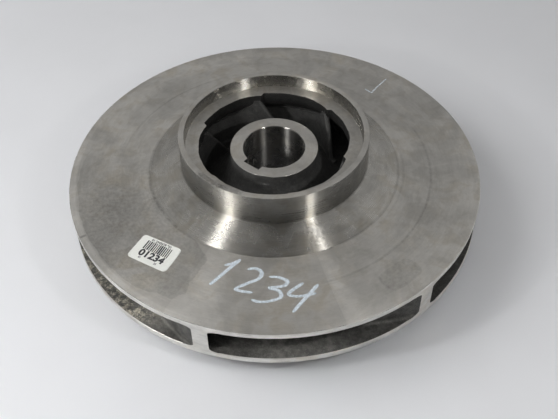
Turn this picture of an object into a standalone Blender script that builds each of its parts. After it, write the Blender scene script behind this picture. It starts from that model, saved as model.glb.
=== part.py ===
"""Closed pump impeller, one stainless casting, modelled in metres with +Z up.

The axis of rotation is Z and the eye faces up. The impeller rests on the back
face of its hub at Z = 0. The casting is divided at its natural regions, which
lie a small clearance apart: the hub sleeve, the back shroud, the front shroud
and its cone, the neck ring, the eye ring with its seat, and six vanes.
"""

import math

import bmesh
import bpy

# Driving dimensions, in metres.
OUTER_RADIUS = 0.203
BOSS_HEIGHT = 0.018
BOSS_RADIUS = 0.052
BACK_EDGE = 0.0068
OUTLET_WIDTH = 0.0294
FRONT_EDGE = 0.0058

HUB_RADIUS = 0.0431
HUB_FACE_RISE = 0.0267
BORE_RADIUS = 0.030
KEYWAY_WIDTH = 0.018
KEYWAY_FLOOR = 0.0344
KEYWAY_AZIMUTH = math.radians(-130.0)

NECK_RADIUS = 0.0919
NECK_BORE_RADIUS = 0.0863
NECK_RISE = 0.0478
NECK_FOOT_RISE = 0.0164
SEAT_RISE = 0.0342
CONE_FOOT_RADIUS = 0.123
CONE_FOOT_RISE = 0.0043
FLAT_RADIUS = 0.154
FLAT_RISE = 0.0007

VANE_COUNT = 6
VANE_THICKNESS = 0.0055
VANE_RIM_AZIMUTH = math.radians(-108.9)
VANE_ANGLE = math.radians(21.85)
NOSE_FOOT_RADIUS = 0.0615
NOSE_FOOT_HEIGHT = 0.044
NOSE_LEAN = 0.24
LEAN_SHARE = 0.4

THROAT_RADIUS = 0.0735
THROAT_EDGE_MIN = 0.0708
THROAT_DEPTH = 0.0062
PASSAGE_ARC_END = 0.150

LABEL_LENGTH = 0.043
LABEL_WIDTH = 0.0275
LABEL_CORNER = 0.003
LABEL_THICKNESS = 0.0004
LABEL_RADIUS = 0.1568
LABEL_AZIMUTH = math.radians(-134.1)
LABEL_TURN = math.radians(-28.0)

CLEARANCE = 0.0003
CHAMFER = 0.0008
TURN_STEPS = 96
ARC_STEPS = 8
SPIRAL_STEPS = 32
NOSE_STEPS = 6
NOSE_LEVELS = 4
WAVE_STEPS = 96

# Heights that follow from them, above the rest face.
RIM_LOW = BOSS_HEIGHT
OUTLET_LOW = RIM_LOW + BACK_EDGE
OUTLET_HIGH = OUTLET_LOW + OUTLET_WIDTH
RIM_TOP = OUTLET_HIGH + FRONT_EDGE
HUB_FACE = RIM_TOP + HUB_FACE_RISE
NECK_TOP = RIM_TOP + NECK_RISE
SEAT = RIM_TOP + SEAT_RISE
THROAT_LOW = SEAT - THROAT_DEPTH
FLARE_TOP = HUB_FACE - 0.0107

COLOURS = {
    "machined_steel": ((0.46, 0.44, 0.42), 1.0, 0.34),
    "cast_steel": ((0.20, 0.195, 0.185), 1.0, 0.72),
    "label_paper": ((0.86, 0.86, 0.84), 0.0, 0.55),
}


def clear_scene():
    for item in list(bpy.data.objects):
        bpy.data.objects.remove(item, do_unlink=True)


def new_collection(name):
    group = bpy.data.collections.new(name)
    bpy.context.scene.collection.children.link(group)
    return group


def new_material(name):
    colour, metallic, roughness = COLOURS[name]
    material = bpy.data.materials.new(name)
    material.use_nodes = True
    shader = material.node_tree.nodes["Principled BSDF"]
    shader.inputs["Base Color"].default_value = (*colour, 1.0)
    shader.inputs["Metallic"].default_value = metallic
    shader.inputs["Roughness"].default_value = roughness
    return material


def quarter_arc(start, end):
    """Points of a quarter ellipse that leaves start upright and reaches end level."""
    (start_r, start_z), (end_r, end_z) = start, end
    points = []
    for step in range(ARC_STEPS + 1):
        angle = math.pi / 2 * step / ARC_STEPS
        radius = end_r - (end_r - start_r) * math.cos(angle)
        height = start_z + (end_z - start_z) * math.sin(angle)
        points.append((radius, height))
    return points


def front_wall():
    """The front side of the water passage, from the throat to the rim."""
    start = (THROAT_RADIUS, THROAT_LOW)
    return quarter_arc(start, (PASSAGE_ARC_END, OUTLET_HIGH)) + [(OUTER_RADIUS, OUTLET_HIGH)]


def back_wall():
    """The back side of the water passage, from the hub sleeve to the rim."""
    start = (HUB_RADIUS, FLARE_TOP)
    return quarter_arc(start, (PASSAGE_ARC_END, OUTLET_LOW)) + [(OUTER_RADIUS, OUTLET_LOW)]


def height_at(wall, radius):
    """Height of a passage wall at a radius, read along its straight runs."""
    for (r0, z0), (r1, z1) in zip(wall, wall[1:]):
        if r0 <= radius <= r1:
            return z0 + (z1 - z0) * (radius - r0) / (r1 - r0)
    return wall[-1][1]


def part_of_wall(wall, low_radius, high_radius):
    """The run of a passage wall between two radii, with both ends on it."""
    inside = [point for point in wall if low_radius < point[0] < high_radius]
    first = (low_radius, height_at(wall, low_radius))
    last = (high_radius, height_at(wall, high_radius))
    return [first] + inside + [last]


def turned(name, profile, group, material=None):
    """A closed profile in the XZ plane, swept once round Z. Its outer side runs downwards."""
    count = len(profile)
    mesh = bpy.data.meshes.new(name)
    points = [(radius, 0.0, height) for radius, height in profile]
    edges = [(index, (index + 1) % count) for index in range(count)]
    mesh.from_pydata(points, edges, [])
    item = bpy.data.objects.new(name, mesh)
    group.objects.link(item)
    sweep = item.modifiers.new("sweep", "SCREW")
    sweep.axis = "Z"
    sweep.angle = 2 * math.pi
    sweep.steps = TURN_STEPS
    sweep.render_steps = TURN_STEPS
    sweep.use_merge_vertices = True
    sweep.merge_threshold = 0.00001
    sweep.use_smooth_shade = True
    if material:
        mesh.materials.append(material)
    return item


def evaluated_mesh(item, name):
    """A plain mesh of the object as its modifiers leave it."""
    graph = bpy.context.evaluated_depsgraph_get()
    mesh = bpy.data.meshes.new_from_object(item.evaluated_get(graph))
    mesh.name = name
    return mesh


def weld(mesh):
    work = bmesh.new()
    work.from_mesh(mesh)
    bmesh.ops.remove_doubles(work, verts=work.verts, dist=0.000001)
    work.to_mesh(mesh)
    work.free()


def prism(name, outline, low, high, group):
    """A flat outline of plan points, extruded between two heights."""
    curve = bpy.data.curves.new(name + "_outline", "CURVE")
    curve.dimensions = "2D"
    curve.fill_mode = "BOTH"
    curve.extrude = (high - low) / 2
    spline = curve.splines.new("POLY")
    spline.points.add(len(outline) - 1)
    for point, (x, y) in zip(spline.points, outline):
        point.co = (x, y, 0.0, 1.0)
    spline.use_cyclic_u = True
    flat = bpy.data.objects.new(name + "_outline", curve)
    flat.location.z = (high + low) / 2
    group.objects.link(flat)
    bpy.context.view_layer.update()
    mesh = evaluated_mesh(flat, name)
    weld(mesh)
    item = bpy.data.objects.new(name, mesh)
    item.matrix_world = flat.matrix_world
    group.objects.link(item)
    bpy.data.objects.remove(flat, do_unlink=True)
    return item


def as_cutter(item):
    item.hide_render = True
    item.display_type = "WIRE"
    return item


def boolean(item, other, operation):
    change = item.modifiers.new(other.name, "BOOLEAN")
    change.operation = operation
    change.solver = "EXACT"
    change.object = other


def shade(item):
    item.data.shade_smooth()
    item.data.set_sharp_from_angle(angle=math.radians(30.0))


def polar(radius, azimuth):
    return (radius * math.cos(azimuth), radius * math.sin(azimuth))


def make_hub(group, cutters, material):
    """The sleeve with the shaft bore and keyway, its flare and the boss behind it."""
    flare = part_of_wall(back_wall(), HUB_RADIUS, BOSS_RADIUS)
    profile = [
        (BORE_RADIUS + CHAMFER, HUB_FACE),
        (HUB_RADIUS - CHAMFER, HUB_FACE),
        (HUB_RADIUS, HUB_FACE - CHAMFER),
        *flare,
        (BOSS_RADIUS, CHAMFER),
        (BOSS_RADIUS - CHAMFER, 0.0),
        (BORE_RADIUS + CHAMFER, 0.0),
        (BORE_RADIUS, CHAMFER),
        (BORE_RADIUS, HUB_FACE - CHAMFER),
    ]
    hub = turned("hub", profile, group, material)
    half = KEYWAY_WIDTH / 2
    corners = [(0.0, -half), (KEYWAY_FLOOR, -half), (KEYWAY_FLOOR, half), (0.0, half)]
    slot = prism("keyway_cutter", corners, -CHAMFER, HUB_FACE + CHAMFER, cutters)
    slot.rotation_euler.z = KEYWAY_AZIMUTH
    boolean(hub, as_cutter(slot), "DIFFERENCE")
    return hub


def make_back_shroud(group, material):
    """The back disc, from the hub's flare out to the rim."""
    inner = BOSS_RADIUS + CLEARANCE
    wall = part_of_wall(back_wall(), inner, OUTER_RADIUS)
    profile = [
        *wall,
        (OUTER_RADIUS, RIM_LOW + CHAMFER),
        (OUTER_RADIUS - CHAMFER, RIM_LOW),
        (inner, RIM_LOW),
    ]
    return turned("back_shroud", profile, group, material)


def make_front_shroud(group, material):
    """The front disc, nearly flat, from the foot of its cone out to the rim."""
    inner = CONE_FOOT_RADIUS + CLEARANCE
    wall = part_of_wall(front_wall(), inner, OUTER_RADIUS)
    profile = [
        (inner, RIM_TOP + CONE_FOOT_RISE),
        (FLAT_RADIUS, RIM_TOP + FLAT_RISE),
        (OUTER_RADIUS - CHAMFER, RIM_TOP),
        (OUTER_RADIUS, RIM_TOP - CHAMFER),
        *reversed(wall),
    ]
    return turned("front_shroud", profile, group, material)


def make_front_cone(group, material):
    """The steep cone of the front shroud, which rises to the neck."""
    inner = NECK_RADIUS + CLEARANCE
    wall = part_of_wall(front_wall(), inner, CONE_FOOT_RADIUS)
    profile = [
        (inner, RIM_TOP + NECK_FOOT_RISE),
        (CONE_FOOT_RADIUS, RIM_TOP + CONE_FOOT_RISE),
        *reversed(wall),
    ]
    return turned("front_cone", profile, group, material)


def make_neck_ring(group, material):
    """The turned neck, which runs in the wear ring of the casing."""
    wall = part_of_wall(front_wall(), NECK_BORE_RADIUS, NECK_RADIUS)
    profile = [
        (NECK_BORE_RADIUS + CHAMFER, NECK_TOP),
        (NECK_RADIUS - CHAMFER, NECK_TOP),
        (NECK_RADIUS, NECK_TOP - CHAMFER),
        *reversed(wall),
        (NECK_BORE_RADIUS, NECK_TOP - CHAMFER),
    ]
    return turned("neck_ring", profile, group, material)


def throat_outline():
    """The eye's edge, which comes in at each vane's nose and falls back past it."""
    points = []
    pitch = 2 * math.pi / VANE_COUNT
    nose = vane_azimuth(THROAT_EDGE_MIN)
    depth = THROAT_RADIUS + CLEARANCE - THROAT_EDGE_MIN
    for step in range(WAVE_STEPS):
        azimuth = 2 * math.pi * step / WAVE_STEPS
        along = ((azimuth - nose) % pitch) / pitch
        swell = math.exp(-along / 0.35) if along < 0.88 else (along - 0.88) / 0.12
        points.append(polar(THROAT_RADIUS + CLEARANCE - depth * swell, azimuth))
    return points


def make_eye_ring(group, cutters, material):
    """The ring inside the neck: its flat seat above, the eye's rough edge below."""
    outer = NECK_BORE_RADIUS - CLEARANCE
    wall = part_of_wall(front_wall(), THROAT_RADIUS, outer)
    profile = [
        (THROAT_EDGE_MIN - CHAMFER, SEAT),
        (outer, SEAT),
        *reversed(wall),
        (THROAT_EDGE_MIN - CHAMFER, THROAT_LOW),
    ]
    ring = turned("eye_ring", profile, group, material)
    throat = prism("throat_cutter", throat_outline(), OUTLET_HIGH, NECK_TOP, cutters)
    boolean(ring, as_cutter(throat), "DIFFERENCE")
    return ring


def vane_azimuth(radius):
    """Azimuth of a vane's middle line, a spiral that keeps one angle to the tangent."""
    return VANE_RIM_AZIMUTH - math.log(OUTER_RADIUS / radius) / math.tan(VANE_ANGLE)


def vane_outline(height):
    """Plan outline of one vane at a height, from its round nose to past the rim.

    The nose leans outwards as it rises. The outer share of the vane stays upright.
    """
    lean = NOSE_LEAN * max(0.0, height - NOSE_FOOT_HEIGHT)
    half = VANE_THICKNESS / 2
    reach = math.log((OUTER_RADIUS + VANE_THICKNESS) / NOSE_FOOT_RADIUS)
    outer_side = []
    inner_side = []
    for step in range(SPIRAL_STEPS + 1):
        share = step / SPIRAL_STEPS
        shift = lean * max(0.0, 1.0 - share / LEAN_SHARE)
        radius = NOSE_FOOT_RADIUS * math.exp(reach * share) + shift
        azimuth = vane_azimuth(radius)
        x, y = polar(radius, azimuth)
        across_x, across_y = polar(half, azimuth - VANE_ANGLE)
        outer_side.append((x + across_x, y + across_y))
        inner_side.append((x - across_x, y - across_y))
    nose_radius = NOSE_FOOT_RADIUS + lean
    azimuth = vane_azimuth(nose_radius)
    centre_x, centre_y = polar(nose_radius, azimuth)
    nose = []
    for step in range(1, NOSE_STEPS):
        turn = azimuth - VANE_ANGLE + math.pi * (1 + step / NOSE_STEPS)
        dx, dy = polar(half, turn)
        nose.append((centre_x + dx, centre_y + dy))
    return outer_side + inner_side[::-1] + nose


def vane_blank(group):
    """A vane before its top and bottom are trimmed, skinned over outlines at some heights."""
    rise = NECK_TOP - NOSE_FOOT_HEIGHT
    heights = [0.0]
    for level in range(NOSE_LEVELS + 1):
        heights.append(NOSE_FOOT_HEIGHT + rise * level / NOSE_LEVELS)
    shape = bmesh.new()
    rings = []
    for height in heights:
        outline = vane_outline(height)
        rings.append([shape.verts.new((x, y, height)) for x, y in outline])
    for low, high in zip(rings, rings[1:]):
        for index in range(len(low)):
            after = (index + 1) % len(low)
            shape.faces.new((low[index], low[after], high[after], high[index]))
    shape.faces.new(rings[-1])
    shape.faces.new(rings[0][::-1])
    bmesh.ops.recalc_face_normals(shape, faces=shape.faces)
    mesh = bpy.data.meshes.new("vane_blank")
    shape.to_mesh(mesh)
    shape.free()
    item = bpy.data.objects.new("vane_blank", mesh)
    group.objects.link(item)
    return item


def passage_profile():
    """The water passage between the shrouds, a clearance inside both of them."""
    low_radius = BOSS_RADIUS + CLEARANCE
    front = [(radius, height - CLEARANCE) for radius, height in front_wall()]
    back = part_of_wall(back_wall(), low_radius, OUTER_RADIUS)
    back = [(radius, height + CLEARANCE) for radius, height in back]
    return [(low_radius, THROAT_LOW - CLEARANCE)] + front + list(reversed(back))


def make_vanes(group, cutters, material):
    passage = turned("passage_cutter", passage_profile(), cutters)
    blank = vane_blank(cutters)
    boolean(blank, as_cutter(passage), "INTERSECT")
    bpy.context.view_layer.update()
    mesh = evaluated_mesh(blank, "vane")
    mesh.materials.clear()
    mesh.materials.append(material)
    as_cutter(blank)
    vanes = []
    for index in range(VANE_COUNT):
        vane = bpy.data.objects.new(f"vane_{index + 1}", mesh)
        vane.rotation_euler.z = 2 * math.pi * index / VANE_COUNT
        group.objects.link(vane)
        vanes.append(vane)
    return vanes


def label_outline():
    """A rectangle with round corners, long side along X before it is turned."""
    points = []
    reach_x = LABEL_LENGTH / 2 - LABEL_CORNER
    reach_y = LABEL_WIDTH / 2 - LABEL_CORNER
    corners = [(1, 1, 0.0), (-1, 1, 0.5), (-1, -1, 1.0), (1, -1, 1.5)]
    for side_x, side_y, start in corners:
        for step in range(4):
            dx, dy = polar(LABEL_CORNER, math.pi * (start + 0.5 * step / 3))
            points.append((side_x * reach_x + dx, side_y * reach_y + dy))
    return points


def make_label(group, cutters, material):
    """The paper label, which follows the slope of the front shroud."""
    low = RIM_TOP + CLEARANCE
    high = low + LABEL_THICKNESS
    skin = [
        (CONE_FOOT_RADIUS, high + CONE_FOOT_RISE),
        (FLAT_RADIUS, high + FLAT_RISE),
        (OUTER_RADIUS, high),
        (OUTER_RADIUS, low),
        (FLAT_RADIUS, low + FLAT_RISE),
        (CONE_FOOT_RADIUS, low + CONE_FOOT_RISE),
    ]
    shell = turned("label_cutter", skin, cutters)
    label = prism("inventory_label", label_outline(), OUTLET_LOW, NECK_TOP, group)
    x, y = polar(LABEL_RADIUS, LABEL_AZIMUTH)
    label.location.x = x
    label.location.y = y
    label.rotation_euler.z = LABEL_TURN
    label.data.materials.append(material)
    boolean(label, as_cutter(shell), "INTERSECT")
    return label


def main():
    clear_scene()
    group = new_collection("closed_impeller")
    cutters = new_collection("cutters")
    machined = new_material("machined_steel")
    cast = new_material("cast_steel")
    paper = new_material("label_paper")
    make_hub(group, cutters, machined)
    make_back_shroud(group, machined)
    make_front_shroud(group, machined)
    make_front_cone(group, machined)
    make_neck_ring(group, machined)
    make_eye_ring(group, cutters, machined)
    make_vanes(group, cutters, cast)
    make_label(group, cutters, paper)
    for item in group.objects:
        shade(item)


main()
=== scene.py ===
"""Looks of the closed pump impeller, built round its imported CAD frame.

Metres, +Z up, the axis of rotation on Z and the eye upwards. Finer pieces replace the
CAD nodes in the same place: turned rings with small edge radii, vanes with the casting's
fillets, the uneven eye, the printed label and the pen strokes. Materials are procedural.
"""

import math

import bmesh
import bpy
import numpy as np
from mathutils import Matrix, Vector, noise


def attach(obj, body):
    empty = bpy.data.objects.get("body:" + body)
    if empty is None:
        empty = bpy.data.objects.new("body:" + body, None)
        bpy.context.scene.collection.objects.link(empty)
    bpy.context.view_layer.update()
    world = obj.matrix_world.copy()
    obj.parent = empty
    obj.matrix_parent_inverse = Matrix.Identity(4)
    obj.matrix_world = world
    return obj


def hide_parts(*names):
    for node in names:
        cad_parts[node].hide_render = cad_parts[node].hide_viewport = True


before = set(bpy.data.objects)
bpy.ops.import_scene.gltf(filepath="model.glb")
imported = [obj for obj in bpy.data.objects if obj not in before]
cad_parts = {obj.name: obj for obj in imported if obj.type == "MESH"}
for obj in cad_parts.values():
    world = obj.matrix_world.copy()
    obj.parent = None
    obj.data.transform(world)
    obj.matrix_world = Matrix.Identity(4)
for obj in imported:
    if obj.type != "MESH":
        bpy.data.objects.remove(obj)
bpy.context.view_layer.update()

# Sizes that part.py has too.
OUTER_RADIUS = 0.203
RIM_LOW = 0.018
OUTLET_LOW = 0.0248
OUTLET_HIGH = 0.0542
RIM_TOP = 0.060
BOSS_RADIUS = 0.052
HUB_RADIUS = 0.0431
HUB_FACE = 0.0867
BORE_RADIUS = 0.030
KEYWAY_HALF = 0.009
KEYWAY_FLOOR = 0.0344
KEYWAY_AZIMUTH = math.radians(-130.0)
NECK_RADIUS = 0.0919
NECK_BORE_RADIUS = 0.0863
NECK_TOP = 0.1078
SEAT = 0.0942
THROAT_RADIUS = 0.0735
THROAT_LOW = 0.088
FRONT_WALL = ((THROAT_RADIUS, THROAT_LOW), (0.150, OUTLET_HIGH))
BACK_WALL = ((HUB_RADIUS, 0.076), (0.150, OUTLET_LOW))
TOP_LINE = ((NECK_RADIUS, 0.0764), (0.123, 0.0643), (0.154, 0.0607), (OUTER_RADIUS, RIM_TOP))
VANE_COUNT = 6
VANE_HALF = 0.00275
VANE_RIM_AZIMUTH = math.radians(-108.9)
VANE_ANGLE = math.radians(21.85)
NOSE_FOOT_RADIUS = 0.0615
NOSE_FOOT_HEIGHT = 0.044
NOSE_LEAN = 0.24
LEAN_SHARE = 0.4

# Sizes of the finer pieces.
COLUMNS = 480
FILLET = 0.0036
BURY = 0.0003
EDGE = 0.0006
CAST_END = OUTER_RADIUS - 0.001
SKIN_DEPTH = 0.00028
SKIN_INSET = 0.004
EYE_EDGE = 0.0737
EYE_SWELL = 0.0036
FIRST_SWELL = math.radians(97.5)
FAINT_SWELL = math.radians(247.5)
SLEEVE_FLAT = 0.0424
SLEEVE_FLAT_AZIMUTH = math.radians(-103.0)
LINE_POINTS = 260
LINE_END = 0.2125
SIDE_POINTS = 110
NOSE_POINTS = 11
RIM_POINTS = 5
LABEL_CENTRE = (-0.1096, -0.1123)
LABEL_TURN = math.radians(-30.0)
LABEL_HALF = (0.0211, 0.0142)
LABEL_CORNER = 0.0035
PAPER = 0.00018
PRINT_LIFT = 0.00005

# Material slots of the turned and cast pieces. BRIGHT is the cone, the neck's outside or the
# bore. The fourth slot is the counterbore's wall on the neck, and the rim on the two discs.
TURNED = 0
CAST = 1
BRIGHT = 2
INNER = 3
EDGING = 3

# Base colours of the turned steel.
DULL = (0.52, 0.51, 0.485, 1.0)
CLEAN = (0.56, 0.55, 0.52, 1.0)
# The bore's steel is darker: painted shade in the bore.
BORE_SHADE = (0.36, 0.357, 0.35, 1.0)
LIGHT = (0.72, 0.71, 0.68, 1.0)

# Base colours of the cast skin: hollows and lumps, each in the eye and at the rim, then
# its bare grains and the two colours of the baked sand.
HOLLOWS = ((0.100, 0.100, 0.098, 1.0), (0.078, 0.077, 0.072, 1.0))
LUMPS = ((0.134, 0.133, 0.128, 1.0), (0.140, 0.137, 0.127, 1.0))
GRAINS = (0.27, 0.265, 0.25, 1.0)
SAND = ((0.24, 0.22, 0.18, 1.0), (0.50, 0.47, 0.40, 1.0))

# The inputs of a patch on a ring, in order: where it is, then how its borders run.
PATCH_INPUTS = {
    "Azimuth": 0.0, "Reach": 0.5, "Radius": 0.15, "Depth": 0.01,
    "Softness": 0.1, "Wobble": 0.2, "Grain": 60.0, "Ease": 0.001,
}

# Marks on turned steel, with painted highlights and painted shade among them: azimuth and
# reach in degrees, radius and depth in millimetres, softness, wobble, grain, then how much darker
# and how much duller the steel is there.
# A tenth number is the share of its reach over which a mark comes in from its low end.
# A reach of 200 goes all round.
DISC_MARKS_AND_PAINTED_LIGHT = (
    # A painted highlight: lighter along the left lamp's glint on the disc.
    (247.5, 5, 160, 46, 0.9, 0.1, 60, -0.32, -0.02),
    (240, 16, 196, 16, 0.9, 0.2, 60, -0.12, -0.02),
    (203.5, 40.5, 158.5, 36.5, 0.008, 0.18, 60, 0.2, 0.05, 1.2),
    (200, 22, 164, 42, 0.9, 0.2, 60, -0.1, -0.02),
    # Painted shade: the disc's right side is darker, where the lamps light it less.
    (335, 50, 160, 46, 0.9, 0.3, 60, 0.07, 0),
    (75, 40, 196, 12, 0.6, 0.5, 60, -0.2, 0),
    (198, 12, 166, 15, 0.6, 0.8, 90, 0.08, 0.04),
    # A painted highlight: lighter along the right lamp's glint on the disc.
    (290, 2.4, 166, 42, 0.9, 0.1, 60, -0.3, -0.02),
    (165, 18, 164, 42, 0.9, 0.2, 60, -0.08, -0.02),
    (126, 24, 191.5, 13, 0.6, 0.5, 60, -0.2, -0.02),
    (190, 24, 129, 6, 0.7, 0.8, 80, -0.16, -0.02),
    (308, 6.2, 179, 11.5, 0.06, 0.2, 120, 0.13, 0.04),
    (302, 0.6, 179, 11, 0.6, 0.9, 160, 0.1, 0.02),
    (334, 41, 155, 1, 0.7, 1.4, 120, 0.16, 0.04),
    (136, 25, 155.5, 0.8, 0.7, 1.4, 120, 0.14, 0.04),
    (327, 33, 123.2, 0.7, 0.7, 1.6, 150, 0.2, 0.05),
    (80, 85, 123, 0.9, 0.8, 1.6, 150, 0.08, 0.02),
    (202, 40, 123.6, 1.6, 0.5, 1.4, 150, 0.22, 0.05),
    (345, 24, 128, 1.1, 0.8, 1.2, 80, 0.1, 0.03),
    (206.8, 0.35, 200, 3.4, 0.5, 0.3, 300, 0.4, 0),
    (203, 43, 200, 3.4, 0.4, 0.4, 90, -0.22, -0.03),
    # Lighter and smoother all round the edge: a worn edge and a painted highlight.
    (0, 200, 203, 0.9, 0.5, 0.3, 200, -0.08, -0.08),
)
CONE_MARKS_AND_SHADE = (
    (0, 200, 122.6, 0.9, 0.7, 1.6, 150, 0.12, 0.04),
    (0, 200, 92, 0.9, 0.6, 1.2, 150, 0.25, 0.06),
    (215, 5, 107, 18, 0.6, 0.5, 60, 0.16, 0.02),
    (314, 4, 107, 18, 0.6, 0.5, 60, 0.12, 0.02),
    # Painted shade: darker where the right lamp's glint runs down the cone, dimming it.
    (290.5, 4, 107, 20, 0.8, 0.1, 60, 0.5, 0),
)
INNER_MARKS_AND_HIGHLIGHT = (
    # A painted highlight: lighter along the right lamp's glint on the counterbore's wall.
    (109.3, 2.6, 86.3, 6, 0.8, 0.1, 60, -1.4, 0),
    (88, 13, 86.3, 6, 0.8, 0.1, 60, -0.4, 0),
)
NECK_MARKS_AND_HIGHLIGHT = (
    # A painted highlight: lighter along the right lamp's glint on the neck.
    (290.5, 2.8, 92, 6, 0.8, 0.1, 60, -0.85, 0),
    (325.5, 3.6, 92, 3, 0.5, 0.6, 160, 0.18, 0.05),
    (0, 200, 85.4, 0.7, 0.6, 1.4, 150, 0.2, 0.05),
)
FACE_MARKS = (
    (229.5, 9.5, 89.3, 3.2, 0.4, 1.8, 520, 0.34, 0.05),
    (243, 7, 89, 3.2, 0.4, 1.9, 620, 0.28, 0.04),
    (0, 200, 79, 7, 0.2, 0, 60, 0.14, 0),
)

# Patches on the cast skin, some of them painted shade: azimuth and reach in degrees, radius and
# depth in millimetres, then how much lighter it is there. The baked sand lies in the outlets at
# the left.
CAST_MARKS_AND_SHADE = (
    # Painted shade: one side of the eye is darker.
    (158, 38, 60, 18, -0.5),
    (14, 78, 62, 16, -0.4),
    (-130, 22, 32, 6, -0.8),
    (-84, 11, 190, 30, 0.9),
    (-126, 6, 190, 30, 0.9),
    # Painted shade: the outlet at the right is darker, where little light falls in.
    (-28, 26, 190, 30, -0.4),
)
SAND_PATCH = (-150, 23, 190, 30)

# Strokes on the front shroud, in millimetres in plan: the digits' and the tick's.
PEN_STROKES = (
    ((-31, -124), (-37.5, -127.6), (-45.5, -129.4)),
    ((-31, -124), (-38.5, -130.5), (-48, -139.5), (-58, -149.5)),
    (
        (-25, -135), (-18, -133.8), (-12.5, -138), (-15, -144.5),
        (-26, -149.5), (-35, -154.5), (-30, -157.2), (-20, -159),
    ),
    (
        (-6, -143), (2, -143.4), (10, -147.6), (6.5, -152.5), (-5.5, -154.2),
        (2.5, -157.5), (4.2, -164), (-4, -168), (-14, -169), (-21.5, -166.5),
    ),
    ((24, -149.5), (16, -155.5), (11, -161), (16, -163.6), (25, -163), (35, -160.6)),
    ((37, -151), (30, -160), (22, -170), (14, -180.5)),
)
TICK_STROKES = (
    ((101, 121.5), (104, 117.5), (107.2, 113.6)),
    ((107.2, 113.6), (116, 126), (126.5, 139)),
)

# Printed rows of plain digits: text, letter size, boldness and stretch, then the middle
# of the row's foot from the label's centre. All in millimetres.
PRINTED_ROWS = (
    ("01234", 10.2, 0.42, 1.04, 0.0, -7.9),
    ("01 2345678 901", 3.3, 0.10, 1.0, 0.2, 10.6),
    ("01", 2.9, 0.08, 1.0, -9.3, -11.2),
    ("23", 2.9, 0.08, 1.0, 7.6, -11.2),
)
BARS = {"Count": 14, "Pitch": 0.00196, "Height": 0.0102, "Thinnest": 0.0008, "Widest": 0.0016}
BARS_START = (-0.0127, 0.0049)

# Lights: name, azimuth and elevation in degrees, distance, size and power, and whether the
# light is only for the metal's glints. The two lamps stand where their glints come from.
LIGHTS = (
    ("glint_left", -139.0, 37.0, 0.70, 0.10, 2.4, True),
    ("glint_right", -49.5, 46.5, 0.70, 0.02, 1.25, True),
    ("lamp_left", -143.0, 38.0, 0.62, 0.045, 0.57, False),
    ("lamp_right", -48.0, 46.0, 0.70, 0.035, 0.56, False),
    ("fill_side", 180.0, 40.0, 2.0, 1.5, 21.0, False),
    ("fill_front", -100.0, 40.0, 2.0, 1.5, 3.5, False),
)

# The room's light overhead and at its foot, each between two sines of elevation, and its
# share between two azimuths at the back. Its darker and lighter sides have a middle and a
# reach in degrees, and a share. The backdrop is as light as the floor far off.
ROOM_OVERHEAD = (0.80, 1.0, 0.43, 0.36)
ROOM_FOOT = (0.0, 0.45, 0.32, 1.0)
ROOM_BACK = (math.radians(70.0), math.radians(112.0), 0.95, 1.12)
ROOM_SIDES = ((-90, 36, 0.16), (-30, 17, 0.45), (172, 6, 0.6), (-4, 6, 0.6), (36, 27, 1.25))
BACKDROP = 0.24

CAMERA_PLACE = (0.0038, -0.5869, 0.6163)
CAMERA_DOWN = math.radians(46.54)
CAMERA_ROLL = math.radians(-0.94)
CAMERA_LENS = 52.0
SENSOR_WIDTH = 36.0
FLOOR_REACH = 6.0


def circle(radius, azimuths, height):
    """Points round the axis. Radius and height may be one number or one for each azimuth."""
    radius = radius + 0.0 * azimuths
    height = height + 0.0 * azimuths
    return np.stack([radius * np.cos(azimuths), radius * np.sin(azimuths), height], -1)


def even_azimuths():
    return np.arange(COLUMNS) * 2 * math.pi / COLUMNS


def turned(points, angle):
    """Plan points turned about the origin."""
    cosine, sine = math.cos(angle), math.sin(angle)
    return points @ np.array([[cosine, sine], [-sine, cosine]])


def wall_height(wall, radius):
    """Height of a passage wall: a quarter ellipse that runs on level past its end."""
    (start_r, start_z), (end_r, end_z) = wall
    share = np.clip((end_r - radius) / (end_r - start_r), 0.0, 1.0)
    return start_z + (end_z - start_z) * np.sqrt(1.0 - share**2)


def wall_radii(wall, low, high, count):
    """Radii between two on a wall, closer together where it is steep."""
    (start_r, _), (end_r, _) = wall
    bend_end = min(high, end_r)
    first, last = (math.acos((end_r - r) / (end_r - start_r)) for r in (low, bend_end))
    radii = end_r - (end_r - start_r) * np.cos(np.linspace(first, last, count))
    if high > end_r:
        radii = np.append(radii, np.linspace(end_r, high, count // 2)[1:])
    return radii


def top_height(radius):
    """Height of the front shroud's turned outside."""
    radii, heights = zip(*TOP_LINE)
    return np.interp(radius, radii, heights)


def on_shroud(points, lift):
    """Plan points laid on the front shroud's slope, a little above it."""
    radius = np.hypot(points[:, 0], points[:, 1])
    return np.column_stack([points, top_height(radius) + lift])


def fade(values, start, end):
    """0 at start and 1 at end, smooth between them."""
    share = np.clip((values - start) / (end - start), 0.0, 1.0)
    return share * share * (3.0 - 2.0 * share)


def new_mesh(name, points, faces, materials):
    mesh = bpy.data.meshes.new(name)
    mesh.from_pydata(points.tolist(), [], faces)
    for material in materials:
        mesh.materials.append(material)
    return mesh


def skin(name, rings, slots, materials, closed=True, caps=()):
    """A mesh over rings of points. Closed, its last ring also joins its first."""
    rings = np.asarray(rings)
    rows, columns, _ = rings.shape
    runs = rows if closed else rows - 1
    row = np.arange(runs)[:, None] * columns
    after = (np.arange(runs)[:, None] + 1) % rows * columns
    column = np.arange(columns)[None, :]
    beside = (column + 1) % columns
    faces = np.stack([row + column, row + beside, after + beside, after + column], -1)
    faces = faces.reshape(-1, 4).tolist() + list(caps)
    mesh = new_mesh(name, rings.reshape(-1, 3), faces, materials)
    slot_of_face = np.append(np.repeat(slots[:runs], columns), np.full(len(caps), slots[0]))
    mesh.polygons.foreach_set("material_index", slot_of_face.astype(np.int32))
    return finish_mesh(name, mesh)


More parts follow.
